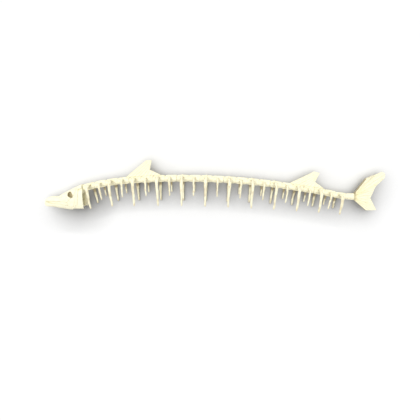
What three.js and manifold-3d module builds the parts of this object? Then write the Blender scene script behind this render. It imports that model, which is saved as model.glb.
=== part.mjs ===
// Skeleton of a slender, two-finned predatory fish of the barracuda kind, 1.2 m long.
// It lies on its right side, on the flattened outer sides of its long right ribs.
//
// Lengths are millimetres. Everything is modelled in the swimming fish's own frame, with +X
// towards the tail, +Y to the fish's right and +Z towards its back. The group at the end of
// the file turns that frame so that the fish's left side faces up.
import * as THREE from "three";
import { mergeVertices } from "three/addons/utils/BufferGeometryUtils.js";
import Module from "manifold-3d";

const wasm = await Module();
wasm.setup();

// ---------------------------------------------------------------- driving dimensions

const GAP = 0.4; // clearance between bones that meet
const SMALL_STEP = 0.01;
const FAR = 700; // beyond every part of the skeleton, for the blocks that cut it

// Backbone: a low arch from the back of the skull to the root of the tail fin, as [x, z].
const BACKBONE = [
  [-466, -31],
  [-400, -16.5],
  [-360, -9.8],
  [-310, -4.5],
  [-150, 3],
  [20, -1],
  [180, -15],
  [330, -37.5],
  [390, -48],
  [440, -59.2],
  [496, -63.8],
];
const VERTEBRAE = 24;
const VERTEBRAE_IN_A_LENGTH = 4;
const VERTEBRA_SHORTENING = 0.06; // front vertebrae are longer by this share, rear ones shorter
const MIDDLE_LENGTHENING = 0.02; // and middle ones are longer than both ends' by about this
const CENTRUM_ARC = { from: 50, to: 310, points: 5 }; // degrees round the backbone from its top
const CENTRUM_END_RADIUS = 9.8; // at the front of the backbone
const CENTRUM_DROP = 2; // the centra lie this far below the backbone's line
const LAST_CENTRUM_SCALE = 0.9;
const CREST_TOP = 12.2; // top of the neural arches above the backbone's line
const CREST_HALF_THICKNESS = 2.7;
// Along half a vertebra each way: place, radius and height of the crest, as shares.
const VERTEBRA_RINGS = [
  { place: -1, radius: 0.84, crest: 0.86 },
  { place: -0.82, radius: 1, crest: 1 },
  { place: 0, radius: 0.76, crest: 1 },
  { place: 0.82, radius: 1, crest: 0.97 },
];

// Ribs: every vertebra but the last carries a pair, long and short by turns.
const LONG_RIB = {
  drop: (x) => 91 - 31 * ((x + 60) / 490) ** 2,
  reach: 47.2,
  width: { root: 13, tip: 6.2 },
  depth: { root: 7, tip: 4 },
};
const SHORT_RIB = {
  drop: (x) => 57 - 6 * (x / 410) ** 2,
  reach: 35,
  width: { root: 9.4, tip: 4.8 },
  depth: { root: 5.6, tip: 3.2 },
};
// From root to tip: outwards as a share of the reach, upwards as a share of the drop, and the
// thickness between the tip's, at 0, and the root's, at 1.
const RIB_PATH = [
  { out: 0.1, rise: 0.03, stout: 1 },
  { out: 0.46, rise: 0.08, stout: 0.95 },
  { out: 0.88, rise: -0.01, stout: 0.9 },
  { out: 1, rise: -0.17, stout: 0.72 },
  { out: 1, rise: -1, stout: 0 },
];
const RIB_SIDES = 6;
const RIB_LEAN = 0.7; // of the backbone's own slope
// Rib pairs stand up to this far ahead of the middle of their vertebrae, in two waves along
// the backbone. The first wave's start and a wave's length are shares of the backbone.
const RIB_LEAD = { most: 2.4, start: 0.02, wave: 0.4 };
const FRONT_RIBS_SETBACK = 2.7; // of the first two pairs, behind where they would stand
const REST_LEVEL = 46.8; // the floor's distance from the fish's middle plane

// Head: height and width along the skull, as [x, value].
const HEAD_TOP = [
  [-608, -77],
  [-605, -71.5],
  [-592, -64.5],
  [-577, -61.5],
  [-558, -62],
  [-530, -46],
  [-500, -31],
  [-478, -21],
  [-463, -17],
];
const HEAD_BOTTOM = [
  [-608, -94],
  [-605, -98],
  [-592, -98.5],
  [-577, -99],
  [-530, -107],
  [-500, -110.5],
  [-463, -111],
];
const HEAD_HALF_WIDTH = [
  [-608, 6],
  [-605, 9],
  [-592, 12.5],
  [-560, 17],
  [-515, 25],
  [-485, 29.5],
  [-463, 31],
];
const HEAD_STATIONS = [-608, -605, -592, -577, -558, -530, -515, -500, -478, -463];
const SNOUT_END = -540; // behind this the head's inner form isn't set back from the snout
const HEAD_SQUARENESS = 3; // superellipse exponent of the head's section
const HEAD_SIDES = 14;
const ROOF_NARROWING = 0.24; // of the head's width at its top
const FACE_BONE_DEPTH = 4; // thickness of the jaw, cheek and gill-cover bones
const EYE_SOCKET = { x: -508, z: -53, radius: 10.4, innerRadius: 8.3, depth: 13, sides: 10 };
const GULLET = { front: -482, top: -48, bottom: -115 }; // the opening between the gill covers
// Half of the shoulder girdle, from its upper end to its lowest point, as [y, z].
const GIRDLE_PATH = [
  [21.5, -50.5],
  [23.6, -67],
  [21, -82],
  [12.5, -93],
  [0, -96.5],
];
const GIRDLE = { x: -469, width: 9, thickness: 3.4, tipScale: 0.6, sides: 6 };
const THROAT_HALF_WIDTH = 24; // half of the space between the gill covers' lower edges
const JAW_CLEFT = { front: -586, back: -502, halfWidth: 16.5 }; // between the lower jaw's rami

// Fin outlines in the middle plane, as [x, z], from the front of the free edge to its back.
const FIRST_DORSAL = {
  base: [-313, -190],
  edge: [
    [-240, 66],
    [-220, 66],
    [-228, 33],
    [-191, 15.6],
  ],
  rays: 9,
  halfThickness: [3.4, 1.6],
};
const SECOND_DORSAL = {
  base: [259, 379],
  edge: [
    [345, 26],
    [365, 21],
    [351, -11],
    [379, -31],
  ],
  rays: 9,
  halfThickness: [3.2, 1.5],
};
const TAIL_ROOT = [
  [491.2, -50.5],
  [491.2, -75.5],
];
const TAIL_LEADING = [
  [525.5, 0.5],
  [580, 25],
  [591, 20],
  [594, 5],
];
const TAIL_TRAILING = [
  [564, -27],
  [549, -69],
  [574, -112],
  [534, -112],
];
const TAIL_RAYS = 12;
const TAIL_HALF_THICKNESS = [7.5, 2.2];
const LEADING_RAY = { columns: 2, halfThickness: 7.5 }; // stout rays along the tail's outer edges
const RAY_RELIEF = 0.62; // the web's thickness as a share of the rays'
const RAY_THINNING = 0.7; // power of the distance from the root by which a ray thins
const FIN_STEPS = 3; // from root to edge

// ---------------------------------------------------------------- helpers

const point = (x, y, z) => new THREE.Vector3(x, y, z);
const mix = THREE.MathUtils.lerp;

/** A value read off a list of [x, value] pairs, on straight lines between them. */
function read(pairs, x) {
  const last = pairs.length - 1;
  if (x <= pairs[0][0]) return pairs[0][1];
  if (x >= pairs[last][0]) return pairs[last][1];
  const i = pairs.findIndex(([px]) => px > x);
  const [[x0, v0], [x1, v1]] = [pairs[i - 1], pairs[i]];
  return mix(v0, v1, (x - x0) / (x1 - x0));
}

/** A closed three.js geometry as a manifold solid. */
function toSolid(geometry) {
  const bare = geometry.clone();
  bare.deleteAttribute("normal");
  bare.deleteAttribute("uv");
  const merged = mergeVertices(bare, 1e-4);
  return new wasm.Manifold(
    new wasm.Mesh({
      numProp: 3,
      vertProperties: merged.attributes.position.array,
      triVerts: new Uint32Array(merged.index.array),
    }),
  );
}

/** Moves every vertex of a geometry to where a function puts it. */
function reshape(geometry, place) {
  const position = geometry.attributes.position;
  const v = new THREE.Vector3();
  for (let i = 0; i < position.count; i++) {
    v.fromBufferAttribute(position, i);
    const moved = place(v);
    position.setXYZ(i, moved.x, moved.y, moved.z);
  }
  return geometry;
}

const box = (x0, x1, y0, y1, z0, z1) =>
  toSolid(
    new THREE.BoxGeometry(x1 - x0, y1 - y0, z1 - z0).translate(
      (x0 + x1) / 2,
      (y0 + y1) / 2,
      (z0 + z1) / 2,
    ),
  );

const join = (solids) => solids.reduce((a, b) => a.add(b));

/**
 * A closed strut through stations { at, across, width, depth }: `across` is the direction of
 * its width, and its depth is at right angles to that and to the strut's own line.
 */
function strut(stations, sides) {
  const steps = stations.length - 1;
  const frames = stations.map((s, i) => {
    const before = stations[Math.max(i - 1, 0)].at;
    const after = stations[Math.min(i + 1, steps)].at;
    const along = after.clone().sub(before).normalize();
    return { ...s, normal: s.across.clone().cross(along).normalize() };
  });
  const rod = new THREE.CylinderGeometry(1, 1, 1, sides, steps);
  return toSolid(
    reshape(rod, (v) => {
      const s = frames[Math.round((v.y + 0.5) * steps)];
      return s.at
        .clone()
        .addScaledVector(s.across, (v.x * s.width) / 2)
        .addScaledVector(s.normal, (v.z * s.depth) / 2);
    }),
  );
}

/** A closed skin through rings of equally many points. */
function loft(rings) {
  const sides = rings[0].length;
  const steps = rings.length - 1;
  const rod = new THREE.CylinderGeometry(1, 1, 1, sides, steps);
  const middleOf = (ring) =>
    ring.reduce((sum, p) => sum.add(p), point(0, 0, 0)).divideScalar(sides);
  return toSolid(
    reshape(rod, (v) => {
      const ring = rings[Math.round((v.y + 0.5) * steps)];
      if (Math.hypot(v.x, v.z) < 0.5) return middleOf(ring);
      const turn = Math.atan2(v.x, v.z) / (2 * Math.PI);
      return ring[Math.round((turn + 1) * sides) % sides];
    }),
  );
}

/** A prism across the fish whose side view is a closed outline of [x, z] points. */
function prism(outline, y0, y1) {
  const shape = new THREE.Shape(outline.map(([x, z]) => new THREE.Vector2(x, z)));
  const geometry = new THREE.ExtrudeGeometry(shape, {
    depth: y1 - y0,
    bevelEnabled: false,
  });
  geometry.rotateX(Math.PI / 2).translate(0, y1, 0);
  return toSolid(geometry);
}

/** The outline moved outwards by a margin, for the clearance round a let-in bone. */
function grown(outline, margin) {
  const n = outline.length;
  const turn = Math.sign(THREE.ShapeUtils.area(outline.map(([x, y]) => ({ x, y }))));
  return outline.map(([x, z], i) => {
    const [px, pz] = outline[(i + n - 1) % n];
    const [nx, nz] = outline[(i + 1) % n];
    const a = new THREE.Vector2(x - px, z - pz).normalize();
    const b = new THREE.Vector2(nx - x, nz - z).normalize();
    const out = new THREE.Vector2(a.y + b.y, -a.x - b.x).normalize();
    const reach = (turn * margin) / Math.max(0.5, out.dot(new THREE.Vector2(a.y, -a.x)));
    return [x + out.x * reach, z + out.y * reach];
  });
}

// ---------------------------------------------------------------- backbone and ribs

const backboneLine = new THREE.CatmullRomCurve3(BACKBONE.map(([x, z]) => point(x, 0, z)));
const backboneLength = backboneLine.getLength();

/** The distance from the skull to the front of a vertebra, or to a place within it. */
function vertebraEdge(index) {
  const u = index / VERTEBRAE;
  const wave = Math.sin(2 * Math.PI * u) / (2 * Math.PI);
  return backboneLength * (u + VERTEBRA_SHORTENING * u * (1 - u) - MIDDLE_LENGTHENING * wave);
}

/** The backbone's frame a distance s behind the skull: place, forward axis and up axis. */
function station(s) {
  const u = THREE.MathUtils.clamp(s / backboneLength, 0, 1);
  const along = backboneLine.getTangentAt(u);
  return {
    at: backboneLine.getPointAt(u),
    along,
    up: point(-along.z, 0, along.x),
  };
}

/** The point at a lateral offset and a height from the backbone's line, at distance s. */
function beside(s, lateral, height) {
  const { at, up } = station(s);
  return at.clone().addScaledVector(up, height).add(point(0, lateral, 0));
}

const backboneScale = (s) => mix(1, LAST_CENTRUM_SCALE, (s / backboneLength) ** 3);

/** A ring round the backbone at distance s: the centrum's circle, with the crest on its top. */
function columnRing(s, { radius, crest }) {
  const scale = backboneScale(s);
  const r = CENTRUM_END_RADIUS * scale * radius;
  const half = CREST_HALF_THICKNESS * scale;
  const crestFoot = Math.sqrt(r * r - half * half) - CENTRUM_DROP;
  const { from, to, points } = CENTRUM_ARC;
  const arc = [...Array(points).keys()].map((k) => {
    const turn = mix(from, to, k / (points - 1)) * THREE.MathUtils.DEG2RAD;
    return [r * Math.sin(turn), r * Math.cos(turn) - CENTRUM_DROP];
  });
  const section = [[0, CREST_TOP * scale * crest], [half, crestFoot], ...arc, [-half, crestFoot]];
  return section.reverse().map(([lateral, height]) => beside(s, lateral, height));
}

/** The joined vertebrae of one length of the backbone. */
function column(indices) {
  const rings = indices.flatMap((i) =>
    VERTEBRA_RINGS.map((ring) => ({ ring, s: vertebraEdge(i + 0.5 + ring.place / 2) })),
  );
  rings.push({ ring: VERTEBRA_RINGS[0], s: vertebraEdge(indices.at(-1) + 1) });
  rings[0].s += GAP / 2;
  rings.at(-1).s -= GAP / 2;
  return loft(rings.map(({ ring, s }) => columnRing(s, ring)));
}

/** One rib: out from the side of its vertebra, over a knee and down to a blunt tip. */
function rib(index, side) {
  const kind = index % 2 === 0 ? LONG_RIB : SHORT_RIB;
  const share = (index + 0.5) / VERTEBRAE;
  const turn = (Math.PI * (share - RIB_LEAD.start)) / RIB_LEAD.wave;
  const lead = RIB_LEAD.most * Math.sin(turn) ** 2;
  const setback = index < 2 ? FRONT_RIBS_SETBACK : 0;
  const { at, along } = station(vertebraEdge(index + 0.5) - lead + setback);
  const up = point(-along.z * RIB_LEAN, 0, along.x).normalize();
  const across = point(up.z, 0, -up.x);
  const drop = kind.drop(at.x);
  return strut(
    RIB_PATH.map(({ out, rise, stout }) => {
      const width = mix(kind.width.tip, kind.width.root, stout);
      const depth = mix(kind.depth.tip, kind.depth.root, stout);
      const place = at.clone().addScaledVector(up, rise * drop);
      place.y = side * (out * kind.reach - depth / 2);
      return { at: place, across, width, depth };
    }),
    RIB_SIDES,
  );
}

/** The vertebrae and ribs of one length of the backbone, on one side of the middle plane. */
function backboneSide(length, side) {
  const first = length * VERTEBRAE_IN_A_LENGTH;
  const indices = [...Array(VERTEBRAE_IN_A_LENGTH).keys()].map((k) => first + k);
  const ribs = indices.filter((i) => i < VERTEBRAE - 1).map((i) => rib(i, side));
  const [y0, y1] = side > 0 ? [-FAR, GAP / 2] : [-GAP / 2, FAR];
  const otherSide = box(-FAR, FAR, y0, y1, -FAR, FAR);
  const floor = box(-FAR, FAR, REST_LEVEL, FAR, -FAR, FAR);
  const tail = box(TAIL_ROOT[0][0] - GAP, FAR, -FAR, FAR, -FAR, FAR);
  return [otherSide, floor, tail].reduce(
    (solid, cut) => solid.subtract(cut),
    join([column(indices), ...ribs]),
  );
}

// ---------------------------------------------------------------- skull

/** The whole head's skin, or the same form set in by a depth. */
function headForm(inset) {
  const steps = HEAD_STATIONS.length - 1;
  const rod = new THREE.CylinderGeometry(1, 1, 1, HEAD_SIDES, steps);
  const bulge = (v) => Math.sign(v) * Math.abs(v) ** (2 / HEAD_SQUARENESS);
  return toSolid(
    reshape(rod, (v) => {
      const level = Math.round((v.y + 0.5) * steps);
      const x = HEAD_STATIONS[level];
      const top = read(HEAD_TOP, x) - inset;
      const bottom = read(HEAD_BOTTOM, x) + inset;
      const half = Math.max(read(HEAD_HALF_WIDTH, x) - inset, 1);
      const height = bulge(v.x);
      const narrowing = 1 - ROOF_NARROWING * Math.max(height, 0) ** 2;
      const back = inset * (1 - THREE.MathUtils.smoothstep(x, HEAD_STATIONS[0], SNOUT_END));
      return point(
        x + back,
        bulge(v.z) * half * narrowing,
        (top + bottom) / 2 + (height * (top - bottom)) / 2,
      );
    }),
  );
}

// Side views of the face bones, as [x, z], with shared edges. Each is then cut a little small.
const MOUTH_LINE = [
  [-616, -84],
  [-575, -85],
  [-545, -87.5],
  [-522, -91.5],
];
const JAW_JOINT = [
  [-508, -95],
  [-503, -103],
];
const GILL_COVER_FRONT = [
  [-489, -99.5],
  [-483, -85],
  [-480, -60],
  [-479, -32],
];
const LOWER_JAW = [...MOUTH_LINE, ...JAW_JOINT, [-503, -120], [-616, -120]];
const UPPER_JAW = [...MOUTH_LINE, [-517, -87], [-521, -79], [-545, -77], [-616, -77]];
const CHEEK = [
  ...JAW_JOINT,
  ...GILL_COVER_FRONT,
  [-486, -31],
  [-491, -44],
  [-497, -60],
  [-510, -67],
  [-521, -79],
  [-517, -87],
  [-522, -91.5],
];
const GILL_COVER = [
  ...GILL_COVER_FRONT,
  [-466, -29],
  [-450, -33],
  [-450, -120],
  [-503, -120],
  JAW_JOINT[1],
];

/** Everything behind the face of the skull that the first vertebra butts on. */
function behindSkull() {
  const { at, along } = station(0);
  const block = new THREE.BoxGeometry(FAR, FAR, FAR).translate(FAR / 2 - GAP, 0, 0);
  block.rotateY(Math.atan2(-along.z, along.x)).translate(at.x, at.y, at.z);
  return toSolid(block);
}

function skull() {
  const whole = headForm(0);
  const core = headForm(FACE_BONE_DEPTH);
  const deepCore = headForm(FACE_BONE_DEPTH + GAP);
  const faceBone = (outline, side, clear = GAP) => {
    const [y0, y1] = side > 0 ? [clear, FAR] : [-FAR, -clear];
    return whole.subtract(core).intersect(prism(grown(outline, -GAP / 2), y0, y1));
  };
  const sockets = [-1, 1].map((side) => {
    const { x, z, radius, innerRadius, depth, sides } = EYE_SOCKET;
    const drill = new THREE.CylinderGeometry(radius, innerRadius, depth, sides);
    const out = side * (read(HEAD_HALF_WIDTH, x) - depth / 2 + 1);
    if (side < 0) drill.rotateX(Math.PI);
    return toSolid(drill.translate(x, out, z));
  });
  const faceBones = [UPPER_JAW, CHEEK, GILL_COVER];
  const letIn = join(faceBones.map((outline) => prism(grown(outline, GAP / 2), -FAR, FAR)));
  const gullet = box(GULLET.front, FAR, -FAR, FAR, GULLET.bottom, GULLET.top);
  const cranium = whole
    .subtract(letIn.subtract(deepCore))
    .subtract(prism(grown(LOWER_JAW, GAP / 2), -FAR, FAR))
    .subtract(join(sockets))
    .subtract(gullet)
    .subtract(behindSkull());
  const cleft = new THREE.ExtrudeGeometry(
    new THREE.Shape([
      new THREE.Vector2(JAW_CLEFT.front, 0),
      new THREE.Vector2(JAW_CLEFT.back, -JAW_CLEFT.halfWidth),
      new THREE.Vector2(JAW_CLEFT.back, JAW_CLEFT.halfWidth),
    ]),
    { depth: FAR, bevelEnabled: false },
  ).translate(0, 0, -FAR);
  const jawForm = prism(grown(LOWER_JAW, -GAP / 2), -FAR, FAR);
  const lowerJaw = whole.intersect(jawForm).subtract(toSolid(cleft));
  return {
    cranium,
    lower_jaw: lowerJaw,
    upper_jaw_left: faceBone(UPPER_JAW, -1),
    upper_jaw_right: faceBone(UPPER_JAW, 1),
    cheek_left: faceBone(CHEEK, -1),
    cheek_right: faceBone(CHEEK, 1),
    gill_cover_left: faceBone(GILL_COVER, -1, THROAT_HALF_WIDTH),
    gill_cover_right: faceBone(GILL_COVER, 1, THROAT_HALF_WIDTH),
  };
}

/** The two cleithra: bowed down each side within the gill covers, and joined below. */
function shoulderGirdle() {
  const otherHalf = GIRDLE_PATH.slice(0, -1).map(([y, z]) => [-y, z]);
  const path = [...GIRDLE_PATH, ...otherHalf.reverse()];
  return strut(
    path.map(([y, z], i) => {
      const scale = i === 0 || i === path.length - 1 ? GIRDLE.tipScale : 1;
      return {
        at: point(GIRDLE.x, y, z),
        across: point(1, 0, 0),
        width: GIRDLE.width * scale,
        depth: GIRDLE.thickness * scale,
      };
    }),
    GIRDLE.sides,
  );
}

// ---------------------------------------------------------------- fins

/**
 * A row of rays with a thinner web between them, ruled from a root line to a free edge. The
 * outermost columns on both sides can be stouter, as `leading` says.
 */
function rayedFin(root, edge, rays, halfThickness, leading = { columns: -1 }) {
  const columns = 2 * rays;
  const plate = new THREE.BoxGeometry(1, 1, 1, columns, 1, FIN_STEPS);
  return toSolid(
    reshape(plate, (v) => {
      const column = Math.round((v.x + 0.5) * columns);
      const out = 0.5 - v.z;
      const a = root(column / columns);
      const b = edge(column / columns);
      const relief = column % 2 === 0 ? 1 : RAY_RELIEF;
      const stout = Math.min(column, columns - column) <= leading.columns;
      const plain = mix(halfThickness[0], halfThickness[1], out ** RAY_THINNING) * relief;
      const half = stout ? leading.halfThickness : plain;
      const at = a.clone().lerp(b, out);
      return point(at.x, -2 * v.y * half, at.z);
    }),
  );
}

/** A path through [x, z] points, read by a share of its length. */
function edgeLine(points) {
  const path = new THREE.CurvePath();
  points.slice(1).forEach((p, i) => {
    const q = points[i];
    path.add(new THREE.LineCurve3(point(q[0], 0, q[1]), point(p[0], 0, p[1])));
  });
  return (share) => path.getPointAt(THREE.MathUtils.clamp(share, 0, 1));
}

/** The distance along the backbone at which it passes a given x. */
function distanceAt(x) {
  let [low, high] = [0, backboneLength];
  while (high - low > SMALL_STEP) {
    const middle = (low + high) / 2;
    if (station(middle).at.x < x) low = middle;
    else high = middle;
  }
  return low;
}

/** A dorsal fin, standing on the crest of the neural arches. */
function dorsalFin({ base, edge, rays, halfThickness }) {
  const [front, back] = base.map(distanceAt);
  const root = (share) => {
    const s = mix(front, back, share);
    return beside(s, 0, CREST_TOP * backboneScale(s) + GAP);
  };
  return rayedFin(root, edgeLine(edge), rays, halfThickness);
}

/** The tail fin: rays spread from the end of the backbone to the forked trailing edge. */
function tailFin() {
  const edge = edgeLine([...TAIL_LEADING, ...TAIL_TRAILING]);
  return rayedFin(edgeLine(TAIL_ROOT), edge, TAIL_RAYS, TAIL_HALF_THICKNESS, LEADING_RAY);
}

// ---------------------------------------------------------------- the skeleton

const bone = new THREE.MeshStandardMaterial({ color: 0xf6efd2, roughness: 0.62, metalness: 0 });
const finBone = new THREE.MeshStandardMaterial({ color: 0xf2e8c6, roughness: 0.7, metalness: 0 });

function toMesh(name, solid, material) {
  const { vertProperties, triVerts } = solid.getMesh();
  const geometry = new THREE.BufferGeometry();
  geometry.setAttribute("position", new THREE.BufferAttribute(vertProperties, 3));
  geometry.setIndex(new THREE.BufferAttribute(triVerts, 1));
  geometry.computeVertexNormals();
  const mesh = new THREE.Mesh(geometry, material);
  mesh.name = name;
  return mesh;
}

const skeleton = new THREE.Group();
for (const [name, solid] of Object.entries(skull())) skeleton.add(toMesh(name, solid, bone));
skeleton.add(toMesh("shoulder_girdle", shoulderGirdle(), bone));
for (let length = 0; length < VERTEBRAE / VERTEBRAE_IN_A_LENGTH; length++) {
  for (const [word, side] of [
    ["left", -1],
    ["right", 1],
  ]) {
    skeleton.add(toMesh(`backbone_${length + 1}_${word}`, backboneSide(length, side), bone));
  }
}
skeleton.add(toMesh("first_dorsal_fin", dorsalFin(FIRST_DORSAL), finBone));
skeleton.add(toMesh("second_dorsal_fin", dorsalFin(SECOND_DORSAL), finBone));
skeleton.add(toMesh("tail_fin", tailFin(), finBone));

// The right side goes down, and the origin comes to the middle of the skeleton's footprint.
skeleton.rotation.x = -Math.PI / 2;
skeleton.updateMatrixWorld(true);
const bounds = new THREE.Box3().setFromObject(skeleton);
const middle = bounds.getCenter(new THREE.Vector3());
skeleton.position.set(-middle.x, -middle.y, -bounds.min.z);

const fish = new THREE.Group();
fish.add(skeleton);
export default fish;
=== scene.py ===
import itertools
import math

import bpy
import numpy as np
from mathutils import Matrix, Vector


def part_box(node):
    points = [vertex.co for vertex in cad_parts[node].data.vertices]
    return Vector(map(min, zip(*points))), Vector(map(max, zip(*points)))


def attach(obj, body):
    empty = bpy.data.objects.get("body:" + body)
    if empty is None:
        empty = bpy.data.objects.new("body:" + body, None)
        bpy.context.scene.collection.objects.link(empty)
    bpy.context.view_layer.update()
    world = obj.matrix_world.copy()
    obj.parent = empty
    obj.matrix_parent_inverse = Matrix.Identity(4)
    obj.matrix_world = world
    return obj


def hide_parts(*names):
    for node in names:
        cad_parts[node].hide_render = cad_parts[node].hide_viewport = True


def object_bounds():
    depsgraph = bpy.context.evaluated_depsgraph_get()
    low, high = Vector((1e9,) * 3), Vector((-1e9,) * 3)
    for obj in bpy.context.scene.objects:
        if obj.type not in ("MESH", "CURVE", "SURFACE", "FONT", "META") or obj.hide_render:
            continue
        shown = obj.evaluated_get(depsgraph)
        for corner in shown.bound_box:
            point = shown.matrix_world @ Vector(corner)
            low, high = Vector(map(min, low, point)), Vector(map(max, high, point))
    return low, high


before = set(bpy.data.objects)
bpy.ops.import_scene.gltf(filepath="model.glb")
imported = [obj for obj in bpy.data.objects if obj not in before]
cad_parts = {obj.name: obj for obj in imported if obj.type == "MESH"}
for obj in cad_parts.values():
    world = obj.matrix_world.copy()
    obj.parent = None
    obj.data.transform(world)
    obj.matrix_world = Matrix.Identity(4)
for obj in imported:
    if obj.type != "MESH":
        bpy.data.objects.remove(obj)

CAD_BOX = [list(corner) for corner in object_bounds()]

# The skeleton of a slender two-finned fish, lying on its right side. Everything is modelled in
# millimetres in the swimming fish's own frame, with +X towards the tail, +Y to the fish's right
# and +Z towards its back, and is moved to the row frame, in metres, when its mesh is made.
MM = 0.001

# ---- the skeleton's dimensions

BACKBONE = [
    (-466, -31), (-400, -16.5), (-360, -9.8), (-310, -4.5), (-150, 3), (20, -1),
    (180, -15), (330, -37.5), (390, -48), (440, -59.2), (496, -63.8),
]
VERTEBRAE = 24
IN_A_LENGTH = 4
VERTEBRA_SHORTENING = 0.06
MIDDLE_LENGTHENING = 0.02
CENTRUM_RADIUS = 9.8
CENTRUM_DROP = 2.0
LAST_SCALE = 0.9
CREST_TOP = 12.2

# How far the ribs reach down and out, and their width and depth at a stoutness of 0 and of 1.
LONG_RIB = {
    "drop": lambda x: 91 - 31 * ((x + 60) / 490) ** 2,
    "reach": 47.2, "width": (6.2, 13), "depth": (4, 7),
}
SHORT_RIB = {
    "drop": lambda x: 57 - 6 * (x / 410) ** 2,
    "reach": 35, "width": (4.8, 9.4), "depth": (3.2, 5.6),
}
# Outwards as a share of the reach, upwards as a share of the drop, and the stoutness.
RIB_PATH = np.array([
    (0.1, 0.03, 1), (0.46, 0.08, 0.95), (0.88, -0.01, 0.9), (1, -0.17, 0.72), (1, -1, 0),
])
RIB_LEAN = 0.7
# Rib pairs stand up to this far ahead of the middle of their vertebrae, in waves along the
# backbone. The first wave's start and a wave's length are shares of the backbone.
RIB_LEAD = {"most": 2.4, "start": 0.02, "wave": 0.4}
FRONT_RIBS_SETBACK = 2.7  # of the first two pairs, behind where they would stand
REST_LEVEL = 46.8
LEFT_LEVEL = 47.2

HEAD_TOP = [
    (-608, -77), (-605, -71.5), (-592, -64.5), (-577, -61.5), (-558, -62), (-530, -46),
    (-500, -31), (-478, -21), (-463, -17),
]
HEAD_BOTTOM = [
    (-608, -94), (-605, -98), (-592, -98.5), (-577, -99), (-530, -107), (-500, -110.5),
    (-463, -111),
]
HEAD_HALF_WIDTH = [
    (-608, 6), (-605, 9), (-592, 12.5), (-560, 17), (-515, 25), (-485, 29.5), (-463, 31),
]
HEAD_FRONT = -608
HEAD_BACK = -463
SNOUT_END = -540
HEAD_SQUARENESS = 3.0
ROOF_NARROWING = 0.24
FACE_BONE_DEPTH = 4.0
BONE_GAP = 0.5
EYE = (-508, -53)
EYE_RADIUS = 10.4
GULLET = [(-482, -115), (-400, -115), (-400, -48), (-482, -48)]
THROAT_HALF_WIDTH = 24
JAW_CLEFT = [(-586, -0.6), (-502, -16.5), (-502, 16.5), (-586, 0.6)]  # from below: x and y
GIRDLE_PATH = [(21.5, -50.5), (23.6, -67), (21, -82), (12.5, -93), (0, -96.5)]
GIRDLE = {"x": -469, "width": 9.0, "thickness": 3.4}
GIRDLE_STEPS = 150
GIRDLE_SIDES = 28

MOUTH_LINE = [(-616, -84), (-575, -85), (-545, -87.5), (-522, -91.5)]
JAW_JOINT = [(-508, -95), (-503, -103)]
GILL_COVER_FRONT = [(-489, -99.5), (-483, -85), (-480, -60), (-479, -32)]
LOWER_JAW = MOUTH_LINE + JAW_JOINT + [(-503, -120), (-616, -120)]
UPPER_JAW = MOUTH_LINE + [(-517, -87), (-521, -79), (-545, -77), (-616, -77)]
CHEEK = JAW_JOINT + GILL_COVER_FRONT + [
    (-486, -31), (-491, -44), (-497, -60), (-510, -67), (-521, -79), (-517, -87), (-522, -91.5),
]
GILL_COVER = GILL_COVER_FRONT + [
    (-466, -29), (-450, -33), (-450, -120), (-503, -120), JAW_JOINT[1],
]

# Each fin's foot from front to back, its free edge, and half of its rays' thickness at the foot
# and at the edge.
FIRST_DORSAL = {
    "base": (-313, -190),
    "edge": [(-240, 66), (-220, 66), (-228, 33), (-191, 15.6)],
    "rays": 9, "half": (3.4, 1.6), "spiny": True, "seed": 1,
}
SECOND_DORSAL = {
    "base": (259, 379),
    "edge": [(345, 26), (365, 21), (351, -11), (379, -31)],
    "rays": 9, "half": (3.2, 1.5), "spiny": False, "seed": 2,
}
TAIL_ROOT = [(491.2, -50.5), (491.2, -75.5)]
TAIL = {
    "edge": [(525.5, 0.5), (580, 25), (591, 20), (593, 5), (564, -27), (549, -69), (574, -112),
             (534, -112)],
    "rays": 12, "half": (7.5, 2.2), "spiny": False, "seed": 3,
    # The stouter outer rays: half of their thickness, and their width in half ray spacings.
    "leading": (7.5, 2.6),
}

# The fish frame's origin in the row frame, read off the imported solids.
SHIFT = (
    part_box("cranium")[0].x / MM - HEAD_FRONT,
    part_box("first_dorsal_fin")[1].y / MM - FIRST_DORSAL["edge"][0][1],
    REST_LEVEL,
)

# ---- numbers and noise


def lattice(i, j, k, seed):
    """A repeatable pseudo-random value from 0 to 1 at each whole-number place."""
    h = (i * 73856093) ^ (j * 19349663) ^ (k * 83492791) ^ (seed * 2654435761)
    h = (h ^ (h >> 13)) * 1274126177
    h = h ^ (h >> 16)
    return (h & 0xFFFFF) / float(0xFFFFF)


def noise(points, size, seed):
    """Smooth noise from -1 to 1 over points, with features about `size` across."""
    q = points / size
    cell = np.floor(q).astype(np.int64)
    f = q - cell
    f = f * f * (3 - 2 * f)
    total = 0
    for corner in itertools.product((0, 1), repeat=3):
        weight = np.prod(np.where(corner, f, 1 - f), axis=1)
        total = total + weight * lattice(*(cell + corner).T, seed)
    return 2 * total - 1


def smoothstep(a, b, x):
    t = np.clip((x - a) / (b - a), 0, 1)
    return t * t * (3 - 2 * t)


def bell(x, width):
    return np.exp(-((x / width) ** 2))


def mix(a, b, t):
    return a + (b - a) * t


def signed_power(v, power):
    return np.sign(v) * np.abs(v) ** power


def quarter_round(x):
    """A rise from 0 to 1 in the form of a quarter of a circle."""
    return np.sqrt(1 - (1 - np.clip(x, 0, 1)) ** 2)


def blunt_end(x, start, end, least):
    """A fall from 1 towards 0, rounded like the end of a finger."""
    return np.sqrt(np.clip(1 - smoothstep(start, end, x) ** 2, least, 1))


def unit(v):
    """Vectors scaled to a length of one."""
    return v / np.linalg.norm(v, axis=-1)[..., None]


def full_turn(steps):
    return np.linspace(0, 2 * np.pi, steps, endpoint=False)


def angle_from(turn, centre):
    """The way round from an angle, from -pi to pi."""
    return np.angle(np.exp(1j * (turn - centre)))


def run_along(points):
    """How far along a line each of its points lies."""
    return np.concatenate([[0], np.cumsum(np.linalg.norm(np.diff(points, axis=0), axis=1))])


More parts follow.
